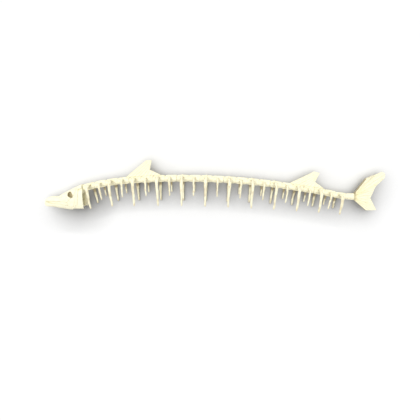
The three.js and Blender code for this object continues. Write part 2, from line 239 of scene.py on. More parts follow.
def read_line(points, run, at):
    """The places at some distances along a line of points."""
    return np.stack([np.interp(at, run, column) for column in points.T], -1)


def signed_area(outline):
    """An outline's area, below 0 if its points run clockwise."""
    x, z = np.asarray(outline, float).T
    return np.sum(x * np.roll(z, -1) - z * np.roll(x, -1)) / 2


def smooth_line(pairs, blur):
    """A function that reads [x, value] pairs with their corners rounded over about `blur`."""
    xs, vs = np.array(pairs, float).T
    step = 0.5
    grid = np.arange(xs[0], xs[-1] + step, step)
    raw = np.interp(grid, xs, vs)
    reach = int(3 * blur / step)
    kernel = np.exp(-0.5 * (np.arange(-reach, reach + 1) * step / blur) ** 2)
    kernel /= kernel.sum()
    first = 2 * raw[0] - raw[reach:0:-1]
    last = 2 * raw[-1] - raw[-2:-reach - 2:-1]
    soft = np.convolve(np.concatenate([first, raw, last]), kernel, "valid")
    return lambda x: np.interp(x, grid, soft)


# ---- meshes


def grid_faces(rows, columns, closed=True):
    """Quads between `rows` rings of `columns` points; closed rings join their ends."""
    r = np.arange(rows - 1)[:, None]
    c = np.arange(columns if closed else columns - 1)[None, :]
    n = (c + 1) % columns
    return np.stack([
        r * columns + c, r * columns + n, (r + 1) * columns + n, (r + 1) * columns + c,
    ], -1).reshape(-1, 4)


def tube(rings):
    """A closed skin through an array of rings, (rows, columns, 3), with a fan at each end."""
    rows, columns = rings.shape[:2]
    points = np.concatenate([rings.reshape(-1, 3), [rings[0].mean(0), rings[-1].mean(0)]])
    faces = [list(f) for f in grid_faces(rows, columns)]
    first, last = rows * columns, rows * columns + 1
    base = (rows - 1) * columns
    for c in range(columns):
        n = (c + 1) % columns
        faces.append([n, c, first])
        faces.append([base + c, base + n, last])
    return points, faces


def joined(parts):
    """Several (points, faces) meshes as one."""
    points, faces, offset = [], [], 0
    for p, f in parts:
        points.append(p)
        faces.extend([[i + offset for i in face] for face in f])
        offset += len(p)
    return np.concatenate(points), faces


def swept(line, a, out_a, b, out_b):
    """Rings round a line, out from it along the directions a and b by (rows, columns) amounts."""
    a, b = np.atleast_2d(a)[:, None], np.atleast_2d(b)[:, None]
    return line[:, None] + out_a[..., None] * a + out_b[..., None] * b


def prism(outline, y0, y1):
    """A prism across the fish whose side view is a closed outline of (x, z) points."""
    flat = np.array(outline, float)
    if signed_area(flat) < 0:
        flat = flat[::-1]
    n = len(flat)
    points = np.concatenate([
        np.stack([flat[:, 0], np.full(n, y), flat[:, 1]], -1) for y in (y0, y1)
    ])
    faces = [list(range(n)), [n + i for i in reversed(range(n))]]
    for i in range(n):
        j = (i + 1) % n
        faces.append([j, i, n + i, n + j])
    return points, faces


def add_object(name, data):
    thing = bpy.data.objects.new(name, data)
    bpy.context.scene.collection.objects.link(thing)
    return thing


def mesh_object(name, points, faces):
    mesh = bpy.data.meshes.new(name)
    mesh.from_pydata(points.tolist(), [], [list(map(int, f)) for f in faces])
    mesh.update()
    return add_object(name, mesh)


def bake(thing):
    """Applies the object's modifiers."""
    graph = bpy.context.evaluated_depsgraph_get()
    mesh = bpy.data.meshes.new_from_object(thing.evaluated_get(graph))
    thing.modifiers.clear()
    old = thing.data
    thing.data = mesh
    bpy.data.meshes.remove(old)


def combine(thing, parts, operation):
    """Cuts or crosses a scratch object with another mesh, given as points and faces."""
    tool = mesh_object("tool", *parts)
    modifier = thing.modifiers.new("combine", "BOOLEAN")
    modifier.solver = "MANIFOLD"
    modifier.operation = operation
    modifier.object = tool
    bake(thing)
    discard(tool)


def discard(thing):
    mesh = thing.data
    bpy.data.objects.remove(thing)
    bpy.data.meshes.remove(mesh)


def taken(thing):
    """A scratch object's points and its faces, as lists of corners; the object goes."""
    mesh = thing.data
    points = np.zeros(len(mesh.vertices) * 3)
    mesh.vertices.foreach_get("co", points)
    faces = [list(p.vertices) for p in mesh.polygons]
    discard(thing)
    return points.reshape(-1, 3), faces


def remeshed(thing, voxel):
    """The points and quads of one even skin round everything in a scratch object."""
    modifier = thing.modifiers.new("remesh", "REMESH")
    modifier.mode = "VOXEL"
    modifier.voxel_size = voxel
    bake(thing)
    points, faces = taken(thing)
    return points, np.array(faces)


def gathered(corner, values, count):
    """The sums, at each of `count` points, of the vectors that belong to it."""
    return np.stack([np.bincount(corner, values[:, k], count) for k in range(3)], -1)


def neighbour_mean(points, faces):
    total, count = 0, 0
    for k in range(4):
        a, b = faces[:, k], faces[:, (k + 1) % 4]
        for here, there in ((a, b), (b, a)):
            total = total + gathered(here, points[there], len(points))
            count = count + np.bincount(here, minlength=len(points))
    return total / np.maximum(count, 1)[:, None]


def relaxed(points, faces, rounds, strength=0.5):
    for _ in range(rounds):
        points = mix(points, neighbour_mean(points, faces), strength)
    return points


def normals_of(points, faces):
    a, b, c, d = (points[faces[:, k]] for k in range(4))
    across = np.cross(c - a, d - b)
    out = sum(gathered(faces[:, k], across, len(points)) for k in range(4))
    return out / np.maximum(np.linalg.norm(out, axis=1), 1e-9)[:, None]


def hollowness(points, faces, rounds):
    """How far each point lies below its smoothed surroundings, from -1 to 1 mm."""
    normal = normals_of(points, faces)
    soft = relaxed(points, faces, rounds, 1.0)
    return np.clip(((soft - points) * normal).sum(1), -1, 1)


def in_row(x, y, z):
    """A place in the row frame, in metres, from one in the fish's frame."""
    return np.stack([x + SHIFT[0], z + SHIFT[1], SHIFT[2] - y], -1) * MM


def piece(name, made, slot, replaces):
    """A piece from points in the fish's frame, faces and painted shade with stains, riding on the
    body and slotted.
    """
    points, faces, shade_and_stain = made
    thing = mesh_object(name, np.clip(in_row(*points.T), *CAD_BOX), faces)
    mesh = thing.data
    mesh.shade_smooth()
    # This attribute darkens the colour: painted shade in hollows and under parts, and stains.
    mesh.attributes.new("shade_and_stain", "FLOAT", "POINT").data.foreach_set("value", shade_and_stain)
    mesh.materials.append(MATERIALS[slot])
    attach(thing, "root")
    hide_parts(*replaces)


# ---- bone

# The noises in all bone: features per metre, detail and roughness.
BONE_NOISES = {
    "blotches": (45, 4, 0.6), "stains": (150, 5, 0.7), "specks": (380, 3, 0.65),
    "grain": (1400, 4, 0.6),
}
# Where a tint begins in its noise or in the painted shade and stains, where it is full, and how
# strong it is then.
BLOTCH_TINT = (0.45, 0.72, 0.8)
STAIN_TINT = (0.52, 0.68)  # how strong it is depends on the slot
SPECK_TINT = (0.6, 0.75, 0.45)
# The last two tints paint shade into hollows, the deepest darkest; the first also carries stains.
SHADE_AND_STAIN_TINT = (0.04, 0.65, 0.9)
DEEP_SHADE_TINT = (0.6, 1.0, 0.95)
BLOTCH_DEPTH = 0.3  # the blotches' colour, as a share of the way to the stains'
GLOSS_SPREAD = (-0.1, 0.12)  # how far the specks change the roughness
BONE_SPECULAR = 0.3
GRAIN_BUMP = {"Strength": 0.35, "Distance": 0.0002}
MIX_FACTOR, MIX_A, MIX_B, MIX_RESULT = 0, 6, 7, 2  # a Mix node's sockets for colours


def set_inputs(node, values):
    for field, value in values.items():
        node.inputs[field].default_value = value


def new_material(name):
    material = bpy.data.materials.new(name)
    material.use_nodes = True
    tree = material.node_tree
    return material, tree.nodes["Principled BSDF"], tree.nodes, tree.links


def colour_mix(nodes, links, factor, below, above):
    """A mix from a colour, or another mix's result, to the colour above as the factor rises."""
    node = nodes.new("ShaderNodeMix")
    node.data_type = "RGBA"
    links.new(factor, node.inputs[MIX_FACTOR])
    if isinstance(below, tuple):
        node.inputs[MIX_A].default_value = (*below, 1)
    else:
        links.new(below, node.inputs[MIX_A])
    node.inputs[MIX_B].default_value = (*above, 1)
    return node.outputs[MIX_RESULT]


def bone_material(name, base, shade, deepest_shade, staining, roughness):
    """Dry bone: soft blotches, fine specks, painted shade in its hollows and a faint grain in its
    gloss.
    """
    material, shader, nodes, links = new_material(name)
    place = nodes.new("ShaderNodeTexCoord")

    def noise_node(kind):
        node = nodes.new("ShaderNodeTexNoise")
        set_inputs(node, dict(zip(("Scale", "Detail", "Roughness"), BONE_NOISES[kind])))
        links.new(place.outputs["Object"], node.inputs["Vector"])
        return node.outputs["Fac"]

    def ramp(source, start, full, most):
        node = nodes.new("ShaderNodeMapRange")
        node.interpolation_type = "SMOOTHSTEP"
        set_inputs(node, {"From Min": start, "From Max": full, "To Max": most})
        links.new(source, node.inputs["Value"])
        return node.outputs["Result"]

    specks = noise_node("specks")
    attribute = nodes.new("ShaderNodeAttribute")
    attribute.attribute_name = "shade_and_stain"
    shade_and_stain = attribute.outputs["Fac"]
    colour = base
    for source, tint, above in (
        (noise_node("blotches"), BLOTCH_TINT,
         tuple(mix(b, s, BLOTCH_DEPTH) for b, s in zip(base, shade))),
        (noise_node("stains"), (*STAIN_TINT, staining), shade),
        (specks, SPECK_TINT, shade), (shade_and_stain, SHADE_AND_STAIN_TINT, shade), (shade_and_stain, DEEP_SHADE_TINT, deepest_shade),
    ):
        colour = colour_mix(nodes, links, ramp(source, *tint), colour, above)
    links.new(colour, shader.inputs["Base Color"])
    gloss = nodes.new("ShaderNodeMapRange")
    low, high = GLOSS_SPREAD
    set_inputs(gloss, {"To Min": roughness + low, "To Max": roughness + high})
    links.new(specks, gloss.inputs["Value"])
    links.new(gloss.outputs["Result"], shader.inputs["Roughness"])
    set_inputs(shader, {"Specular IOR Level": BONE_SPECULAR})
    bump = nodes.new("ShaderNodeBump")
    set_inputs(bump, GRAIN_BUMP)
    links.new(noise_node("grain"), bump.inputs["Height"])
    links.new(bump.outputs["Normal"], shader.inputs["Normal"])
    return material


# Each slot's clean bone, its stains and painted shade, the painted shade of its deepest hollows,
# how stained and how rough it is.
BONE_LOOKS = {
    "skull_bone": ((0.94, 0.9, 0.68), (0.7, 0.62, 0.4), (0.43, 0.37, 0.22), 0.22, 0.6),
    "backbone_bone": ((0.93, 0.89, 0.66), (0.69, 0.6, 0.39), (0.42, 0.35, 0.21), 0.5, 0.66),
    "fin_rays": ((0.93, 0.89, 0.66), (0.7, 0.62, 0.4), (0.44, 0.37, 0.22), 0.45, 0.66),
}
MATERIALS = {slot: bone_material(slot, *look) for slot, look in BONE_LOOKS.items()}

# ---- the backbone's line


class Backbone:
    """A smooth line through the backbone's points, read by the distance behind the skull."""

    STEPS = 400

    def __init__(self, points):
        p = np.array(points, float)
        ends = [2 * p[0] - p[1], *p, 2 * p[-1] - p[-2]]
        spans = [self.span(*ends[i:i + 4]) for i in range(len(p) - 1)]
        self.line = np.concatenate(spans + [p[-1:]])
        self.distance = run_along(self.line)
        self.length = self.distance[-1]

    def span(self, p0, p1, p2, p3):
        """A centripetal Catmull-Rom span from p1 to p2."""
        d0, d1, d2 = (np.linalg.norm(b - a) ** 0.5 for a, b in ((p0, p1), (p1, p2), (p2, p3)))
        t1 = d1 * ((p1 - p0) / d0 - (p2 - p0) / (d0 + d1) + (p2 - p1) / d1)
        t2 = d1 * ((p2 - p1) / d1 - (p3 - p1) / (d1 + d2) + (p3 - p2) / d2)
        t = np.arange(self.STEPS)[:, None] / self.STEPS
        square, cube = 3 * (p2 - p1) - 2 * t1 - t2, 2 * (p1 - p2) + t1 + t2
        return p1 + t1 * t + square * t**2 + cube * t**3

    def at(self, s):
        return read_line(self.line, self.distance, np.clip(s, 0, self.length))

    def along(self, s):
        s = np.clip(s, 1, self.length - 1)
        return unit(self.at(s + 1) - self.at(s - 1))

    def beside(self, s, lateral, height):
        """Points at a distance, a lateral offset and a height from the line."""
        s, lateral, height = np.broadcast_arrays(s, lateral, height)
        at, along = self.at(s), self.along(s)
        beyond = s - np.clip(s, 0, self.length)
        x = at[..., 0] - along[..., 1] * height + along[..., 0] * beyond
        z = at[..., 1] + along[..., 0] * height + along[..., 1] * beyond
        return np.stack([x, lateral, z], -1)

    def distance_at(self, x):
        return np.interp(x, self.line[:, 0], self.distance)


backbone = Backbone(BACKBONE)


def in_length(length):
    """The vertebrae of one of the backbone's lengths."""
    return range(length * IN_A_LENGTH, (length + 1) * IN_A_LENGTH)


def vertebra_edge(index):
    """The distance from the skull to the front of a vertebra, or to a place within it."""
    u = index / VERTEBRAE
    wave = math.sin(2 * math.pi * u) / (2 * math.pi)
    return backbone.length * (u + VERTEBRA_SHORTENING * u * (1 - u) - MIDDLE_LENGTHENING * wave)


def backbone_scale(s):
    return mix(1, LAST_SCALE, (s / backbone.length) ** 3)


# ---- vertebrae

# Places along a vertebra are shares of half of its length, from its middle.
CENTRUM_STEPS = 64
CENTRUM_SIDES = 96
RIM = 0.9  # where the end rims stand
JOINT_GAP = 0.5  # half of the gap between two centra, mm
WAIST = 0.72  # the narrowest radius, as a share of the rims'
WAIST_POWER = 2.4
LIP_DROP = 0.16  # how far the rims fall off at the joint, as a share of the radius
HOLLOW = (0.88, 0.5)  # where the hollow between the rims begins, and where it is full
STRUTS = ((35, 0.2), (62, 0.22), (90, 0.3), (122, 0.2), (155, 0.22))  # degrees, width in radians
STRUT_HEIGHT = 0.16
STRUT_LEVEL = 0.7  # how much of a strut's height lies below the centrum's own surface
VERTEBRA_VOXEL = 0.6
ARCH_STEPS = 16
ARCH_SIDES = 52
ROD_SIDES = 12
ARCH_FOOT = 3.5
ARCH_HALF_WIDTH = (4.6, 1.5)  # at its foot and at its top


def in_vertebra(index, t, lateral, height):
    """Points beside the line, at t from -1 to 1 along a vertebra."""
    front, back = vertebra_edge(index), vertebra_edge(index + 1)
    return backbone.beside(mix(front, back, (np.asarray(t) + 1) / 2), lateral, height)


def centrum(index):
    """The hourglass body of a vertebra, with rims, struts along it and pits between them."""
    front, back = vertebra_edge(index), vertebra_edge(index + 1)
    limit = 1 - JOINT_GAP / ((back - front) / 2)
    t = np.linspace(-limit, limit, CENTRUM_STEPS)[:, None]
    turn = full_turn(CENTRUM_SIDES)[None, :]
    waist = mix(WAIST, 1, np.abs(t / RIM) ** WAIST_POWER)
    lip = 1 - LIP_DROP * smoothstep(RIM + 0.02, 1.0, np.abs(t))
    struts = sum(
        bell(angle_from(turn, side * math.radians(degrees)), width)
        for degrees, width in STRUTS for side in (-1, 1)
    )
    fine = 0.012 * np.sin(turn * 34 + 2.2 * np.sin(turn * 3 + index))
    ridges = STRUT_HEIGHT * (np.minimum(struts, 1) - STRUT_LEVEL) + fine
    profile = np.minimum(waist, 1) * lip + smoothstep(*HOLLOW, np.abs(t)) * ridges
    radius = CENTRUM_RADIUS * backbone_scale((front + back) / 2) * profile
    height = radius * np.cos(turn) - CENTRUM_DROP
    return tube(in_vertebra(index, t + 0 * turn, radius * np.sin(turn), height))


def arch(index):
    """The neural arch and spine: two pillars that close to a blade, which leans back."""
    scale = backbone_scale(vertebra_edge(index))
    rise = np.linspace(0, 1, ARCH_STEPS)[:, None]
    turn = full_turn(ARCH_SIDES)[None, :]
    u = np.cos(turn)
    front = mix(-0.84, -0.74, rise)
    back = mix(0.74, 0.92 if index == VERTEBRAE - 1 else 1.1, rise)
    t = (front + back) / 2 - u * (back - front) / 2
    waist = 4 * rise * (1 - rise) * bell(u, 0.8)
    half = mix(*ARCH_HALF_WIDTH, rise**0.6) * scale * (1 - 0.35 * waist)
    corners = 0.7 * rise**4 * np.abs(u) ** 6
    height = mix(ARCH_FOOT, CREST_TOP * scale - 0.1, rise) - corners
    lateral = half * signed_power(np.sin(turn), 0.45)
    return tube(in_vertebra(index, t, lateral, height)[:, ::-1])


def rod(start, end, radii, steps):
    """A closed rod of round section, its radii spread evenly from its start to its end."""
    share = np.linspace(0, 1, steps)
    path = start + share[:, None] * (end - start)
    radii = np.interp(share, np.linspace(0, 1, len(radii)), radii)[:, None]
    along = unit(np.gradient(path, axis=0))
    upright = abs(along[0, 1]) < 0.8
    a = unit(np.cross(along, [0.0, 1.0, 0.0] if upright else [1.0, 0.0, 0.0]))
    turn = full_turn(ROD_SIDES)
    return tube(swept(path, a, radii * np.cos(turn), np.cross(along, a), radii * np.sin(turn)))


def processes(index):
    """The small processes that lock a vertebra to the next, its keels and its ribs' seats."""
    scale = backbone_scale(vertebra_edge(index))
    # Each rod's two ends, as a place along, an offset sideways and a height, its radii, its steps.
    fore = ((-0.62, 3.4 * scale, 6.0), (-1.04, 4.6 * scale, 8.4 * scale), (2.0, 1.9, 1.0), 8)
    aft = ((0.6, 3.2 * scale, 4.6), (0.95, 4.4 * scale, 7.0 * scale), (2.0, 1.7, 0.9), 8)
    keel = (
        (-0.8, 3.2 * scale, -10.6 * scale), (0.8, 3.2 * scale, -10.6 * scale),
        (0.8, 1.3, 1.1, 1.3, 0.8), 12,
    )
    seat = ((0, 4.0 * scale, -0.5), (0, 8.6 * scale, 1.2), (5.2, 4.6, 3.6), 8)
    rods = [fore, aft, keel] + ([seat] if index < VERTEBRAE - 1 else [])
    parts = []
    for side in (-1, 1):
        for start, end, radii, steps in rods:
            ends = [in_vertebra(index, t, side * w, h) for t, w, h in (start, end)]
            parts.append(rod(*ends, radii, steps))
    return parts


def vertebrae(length):
    """One length of the backbone: its vertebrae fused into one even skin."""
    parts = []
    for index in in_length(length):
        parts += [centrum(index), arch(index), *processes(index)]
    points, faces = joined(parts)
    points[:, 0] = np.minimum(points[:, 0], TAIL_ROOT[0][0] - BONE_GAP)
    points, faces = remeshed(mesh_object("scratch", points, faces), VERTEBRA_VOXEL)
    points = relaxed(points, faces, 2)
    # Painted shade: the colour is darker in the hollows and in the pores.
    shade_and_stain = hollowness(points, faces, 10)
    normal = normals_of(points, faces)
    grain = 0.15 * noise(points * [0.35, 1, 1], 1.6, 11 + length)
    swelling = 0.22 * noise(points, 9, 31 + length)
    pores = smoothstep(0.38, 0.75, noise(points, 2.1, 71 + length)) * smoothstep(-0.15, 0.2, shade_and_stain)
    relief = grain + swelling - 0.5 * pores
    return points + normal * relief[:, None], faces, np.clip(1.2 * shade_and_stain + 0.5 * pores, 0, 1)


# ---- ribs

RIB_STEPS = 120
RIB_SIDES = 28
RIB_SHIFT = 17.3  # how far apart two ribs lie in the noise
KNEE_DROP = 21  # how far below the backbone the painted shadow on a knee's inner side lies, mm


def catmull_rom(points, steps):
    """A smooth path through rows of points, at even shares from the first to the last."""
    p = np.asarray(points, float)
    ends = np.concatenate([[2 * p[0] - p[1]], p, [2 * p[-1] - p[-2]]])
    share = np.linspace(0, len(p) - 1, steps)
    i = np.minimum(share.astype(int), len(p) - 2)
    t = (share - i)[:, None]
    p0, p1, p2, p3 = (ends[i + k] for k in range(4))
    return 0.5 * (
        2 * p1 + (p2 - p0) * t + (2 * p0 - 5 * p1 + 4 * p2 - p3) * t**2
        + (3 * p1 - p0 - 3 * p2 + p3) * t**3
    )


def by_length(path, steps):
    """The same path at even steps of its length."""
    run = run_along(path[:, :3])
    return read_line(path, run, np.linspace(0, run[-1], steps))


def rib_relief(share, turn, seed):
    """Grain along a rib, low swellings, pits towards its root and a crest down to its knee."""
    along, around = np.meshgrid(share, turn, indexing="ij")

    def marks(fine_around, fine_along, kind):
        where = np.stack([
            fine_around * np.cos(around), fine_around * np.sin(around),
            fine_along * along + 7.7 * seed,
        ], -1).reshape(-1, 3)
        return noise(where, 1, kind).reshape(along.shape)

    grain = 0.13 * marks(4.5, 11, 81)
    swelling = 0.26 * marks(1.1, 13, 82)
    pits = 0.55 * smoothstep(0.42, 0.8, marks(3.2, 42, 83)) * smoothstep(0.62, 0.2, along)
    crest = 0.45 * bell(angle_from(around, np.pi / 2), 0.28) * smoothstep(0.5, 0.25, along)
    return grain + swelling - pits + crest - 0.12


def rib_line(index, side, at, up):
    """A rib's centres, widths and depths: out of its seat, over a knee and down to its tip."""
    kind = LONG_RIB if index % 2 == 0 else SHORT_RIB
    stations = []
    for out, rise, stout in RIB_PATH:
        width, depth = mix(*kind["width"], stout), mix(*kind["depth"], stout)
        place = np.array([at[0], 0, at[1]]) + up * rise * kind["drop"](at[0])
        place[1] = side * (out * kind["reach"] - depth / 2)
        stations.append([*place, width, depth])
    path = by_length(catmull_rom(stations, 2 * RIB_STEPS), RIB_STEPS)
    return path[:, :3], path[:, 3], path[:, 4]


def rib_shade_and_ends(share, turn, side, below, relief):
    """Painted shade in a rib's pits, on the front of its shaft and as a shadow on its knee's inner
    side; darker ends.
    """
    pits = np.clip(-1.6 * relief, 0, 0.8)
    ends = 0.3 * smoothstep(0.9, 1.0, share) + 0.25 * smoothstep(0.12, 0.0, share)
    knee = 1.2 * bell(below - KNEE_DROP, 8)
    inside = smoothstep(0.1, 0.8, -side * np.sin(turn))
    shaft = 0.5 * smoothstep(0.25, 0.45, share) * smoothstep(0.95, 0.7, share)
    front = smoothstep(0.5, 0.95, -np.cos(turn))
    return pits + ends[:, None] + knee[:, None] * inside + shaft[:, None] * front


def rib(index, side, seed):
    """One rib, with its relief and its painted shade."""
    wave = math.pi * ((index + 0.5) / VERTEBRAE - RIB_LEAD["start"]) / RIB_LEAD["wave"]
    lead = RIB_LEAD["most"] * math.sin(wave) ** 2
    s = vertebra_edge(index + 0.5) - lead + (FRONT_RIBS_SETBACK if index < 2 else 0)
    at, along = backbone.at(s), backbone.along(s)
    up = unit(np.array([-along[1] * RIB_LEAN, 0, along[0]]))
    across = np.array([up[2], 0, -up[0]])
    centre, width, depth = rib_line(index, side, at, up)
    share = np.linspace(0, 1, RIB_STEPS)
    free = smoothstep(0.25, 0.6, share)
    marks = np.stack([share * 5 + RIB_SHIFT * seed, 0 * share + side * 3.1, 0 * share], -1)
    centre = centre + across * (1.1 * free * noise(marks, 1, 5))[:, None]
    centre[:, 1] -= side * 0.7 * free * (1 + noise(marks, 1, 6))
    width = width * (1 + 0.1 * noise(marks * 2.2, 1, 7))
    depth = depth * (1 + 0.08 * noise(marks * 1.7, 1, 8))
    head = 1 + 0.12 * bell(share - 0.02, 0.05)
    normal = unit(np.cross(across, unit(np.gradient(centre, axis=0))))
    turn = full_turn(RIB_SIDES)
    flute = 0.14 * bell(angle_from(turn, 2.6), 0.5)
    relief = rib_relief(share, side * turn, seed)
    section = 1 - flute[None] + relief / (0.5 * depth * head)[:, None]
    section = 0.5 * (head * blunt_end(share, 0.955, 1.004, 0.02))[:, None] * section
    rings = swept(centre, across, width[:, None] * np.cos(turn) * section,
                  normal, depth[:, None] * np.sin(turn) * section)
    rings[..., 1] = np.clip(rings[..., 1], -LEFT_LEVEL, REST_LEVEL)
    shade_and_stain = rib_shade_and_ends(share, turn, side, at[1] - centre[:, 2], relief)
    if side < 0:
        rings, shade_and_stain = rings[:, ::-1], shade_and_stain[:, ::-1]
    return *tube(rings), np.concatenate([shade_and_stain.reshape(-1), shade_and_stain[0, :1], shade_and_stain[-1, :1]])


def ribs(length, side):
    indices = [i for i in in_length(length) if i < VERTEBRAE - 1]
    made = [rib(i, side, i + (0.5 if side > 0 else 0)) for i in indices]
    points, faces = joined([(p, f) for p, f, _ in made])
    return points, faces, np.concatenate([w for _, _, w in made])


# ---- skull

HEAD_STEPS = 150
HEAD_ROUND = 112
SKULL_VOXEL = 0.62
head_top = smooth_line(HEAD_TOP, 2.2)
head_bottom = smooth_line(HEAD_BOTTOM, 2.2)
head_half = smooth_line(HEAD_HALF_WIDTH, 3)
NOSE = 9.0  # length over which the snout's end is rounded
NOSE_END = 0.55  # the head's section at its very front, as a share of what is behind it
# An eye socket's depths below the head's side, in mm, and its width there as a share.
SOCKET = ((-4, 1.1), (1.2, 0.98), (5, 0.94), (12, 0.96), (17, 0.9), (20, 0.6))
SOCKET_SIDES = 64


def head_form(inset):
    """The whole head's skin, or the same form set in by a depth."""
    x = HEAD_FRONT + (HEAD_BACK - HEAD_FRONT) * np.linspace(0, 1, HEAD_STEPS) ** 1.25
    top, bottom = head_top(x) - inset, head_bottom(x) + inset
    rounding = mix(NOSE_END, 1, quarter_round((x - HEAD_FRONT + 0.35) / NOSE))
    half = np.maximum(head_half(x) - inset, 1) * rounding
    rise = (top - bottom) / 2 * rounding
    turn = full_turn(HEAD_ROUND)[None]
    height = signed_power(np.sin(turn), 2 / HEAD_SQUARENESS)
    width = signed_power(np.cos(turn), 2 / HEAD_SQUARENESS)
    back = inset * (1 - smoothstep(HEAD_FRONT, SNOUT_END, x))
    rings = np.stack([
        (x + back)[:, None] + 0 * turn,
        width * half[:, None] * (1 - ROOF_NARROWING * np.maximum(height, 0) ** 2),
        ((top + bottom) / 2)[:, None] + height * rise[:, None],
    ], -1)
    return tube(rings[:, ::-1])


def grown(outline, margin):
    """The outline moved outwards by a margin."""
    p = np.array(outline, float)
    a, b = unit(p - np.roll(p, 1, 0)), unit(np.roll(p, -1, 0) - p)
    out = unit(np.stack([a[:, 1] + b[:, 1], -a[:, 0] - b[:, 0]], -1))
    lean = (out * np.stack([a[:, 1], -a[:, 0]], -1)).sum(1)
    return p + out * (np.sign(signed_area(p)) * margin / np.maximum(0.5, lean))[:, None]


def behind_skull():
    """The block behind the plane that the first vertebra butts on."""
    at, along = backbone.at(0), backbone.along(0)
    up = np.array([-along[1], along[0]])
    corners = [at - along * 0.4 + up * v + along * u for u, v in
               ((0, -200), (200, -200), (200, 200), (0, 200))]
    return prism(corners, -200, 200)


def socket(side):
    """An irregular, rounded eye socket, a little wider at its rim."""
    turn = full_turn(SOCKET_SIDES)
    shape = 1 + 0.1 * np.cos(2 * (turn + math.pi / 4)) + 0.05 * np.cos(3 * turn + 2.0)
    depth, spread = np.array(SOCKET).T[..., None]
    radius = EYE_RADIUS * spread * shape
    rings = np.stack([
        EYE[0] + radius * np.cos(turn), side * (head_half(EYE[0]) - depth) + 0 * radius,
        EYE[1] + radius * np.sin(turn),
    ], -1)
    return tube(rings if side > 0 else rings[:, ::-1])


SKULL_WIDE = 60  # how far to each side the cutting prisms reach
FACE_GAP = 0.4  # between each face bone and the middle plane
NOSTRILS = [(-549, -63.5, 2.3), (-542.5, -61, 1.6)]  # x, z and radius
NOSTRIL_DEPTH = 2.2
EYE_RIM = (1.2, 1.7, 0.8)  # its radius as a share of the eye's, its width and its height
EYE_GROOVE = (1.62, 1.0, -0.35)
ROOF_RIDGES = ([-560, -500, -462], [4, 9.5, 13])  # x, and how far they are from the middle
ROOF_CENTRE = (-497, -38)
SNOUT_TO_ROOF = (-545, -530)
GILL_HINGE = (-478, -44)
GILL_RIDGE = [GILL_HINGE, (-464, -66)]
CHEEK_RIDGE = [(-484, -38), (-486, -62), (-489, -84), (-497, -97)]
JAW_PORES = [(-600, -93), (-560, -96), (-520, -101)]
JAW_PORE_SPACING = 11.5
SUTURE = {"width": 0.75, "depth": 0.55, "weave": 1.2}
# The skull's fine lines: height, phase per mm or radian, and how strong and how large the noise
# is that bends them, with its seed.
SKULL_LINES = {
    "gill_rays": (0.14, 46, 1.5, 12, 8), "gill_rings": (0.09, 1.5, 1.2, 9, 9),
    "lower_jaw": (0.1, 2.6, 0.5, 14, 12), "upper_jaw": (0.12, 3.0, 1.0, 16, 13),
    "roof_strands": (0.1, 3.1, 1.4, 8, 22), "roof_fan": (0.11, 34, 1.2, 10, 23),
    "snout_streaks": (0.1, 2.7, 0.8, 12, 24),
}
SUTURES = {
    "cranium": [
        [(-560, -62), (-540, -60), (-524, -57)],
        [(-524, -57), (-527, -70), (-523, -79)],
        [(-498, -52), (-490, -42), (-478, -37), (-462, -35)],
        [(-500, -31), (-496, -40), (-498, -50)],
        [(-584, -78), (-580, -70), (-566, -66), (-554, -67), (-540, -72), (-523, -72)],
        [(-514, -64), (-519, -72)],
        [(-497, -45), (-488, -47)],
    ],
    "upper_jaw": [[(-600, -79), (-575, -80.5), (-548, -83), (-526, -87.5)]],
    "lower_jaw": [[(-540, -88), (-534, -97), (-542, -106)], [(-534, -97), (-505, -101)]],
    "cheek": [
        [(-495, -56), (-492, -75), (-497, -92), (-506, -99)],
        [(-512, -68), (-508, -80), (-513, -92)],
    ],
    "gill_cover": [
        [(-484, -93), (-474, -91), (-462, -84)],
        [(-500, -106), (-488, -103), (-476, -104)],
    ],
}


def distance_to(line, points, shift=0):
    """How far points lie from a line of straight runs, as seen from the side."""
    flat = points[:, [0, 2]] + shift
    line = np.array(line, float)
    best = np.inf
    for a, b in zip(line, line[1:]):
        run = b - a
        t = np.clip(((flat - a) @ run) / (run @ run), 0, 1)
        best = np.minimum(best, np.linalg.norm(flat - a - t[:, None] * run, axis=1))
    return best


def fine_lines(kind, phase, points):
    height, waves, bend, size, seed = SKULL_LINES[kind]
    return height * np.sin(phase * waves + bend * noise(points, size, seed))


def about(points, centre):
    """The direction and the distance of points from a centre, as seen from the side."""
    x, z = points[:, 0] - centre[0], points[:, 2] - centre[1]
    return np.arctan2(z, x), np.hypot(x, z)


def gill_cover_relief(points):
    """Rays and growth rings about the hinge, and a ridge behind it."""
    turn, far = about(points, GILL_HINGE)
    rays = fine_lines("gill_rays", turn, points) * smoothstep(6, 25, far)
    ridge = 0.7 * bell(distance_to(GILL_RIDGE, points), 3)
    return rays + fine_lines("gill_rings", far, points) + ridge


def cheek_relief(points):
    """A ridge down its rear, with a groove and a row of pits beside it."""
    ridge = distance_to(CHEEK_RIDGE, points)
    pits = np.sin(points[:, 2] * 0.85) ** 8 * bell(ridge - 4.2, 0.9)
    return 0.75 * bell(ridge, 1.8) - 0.4 * bell(ridge - 3.6, 1.6) - 0.6 * pits


def lower_jaw_relief(points):
    """Fine lengthwise lines and a row of pores."""
    along = np.cos((points[:, 0] + 600) * 2 * np.pi / JAW_PORE_SPACING)
    pores = np.clip(along, 0, 1) ** 6 * bell(distance_to(JAW_PORES, points), 1.2)
    return fine_lines("lower_jaw", points[:, 2], points) - 0.75 * pores


def upper_jaw_relief(points):
    return fine_lines("upper_jaw", points[:, 2] + 0.08 * points[:, 0], points)


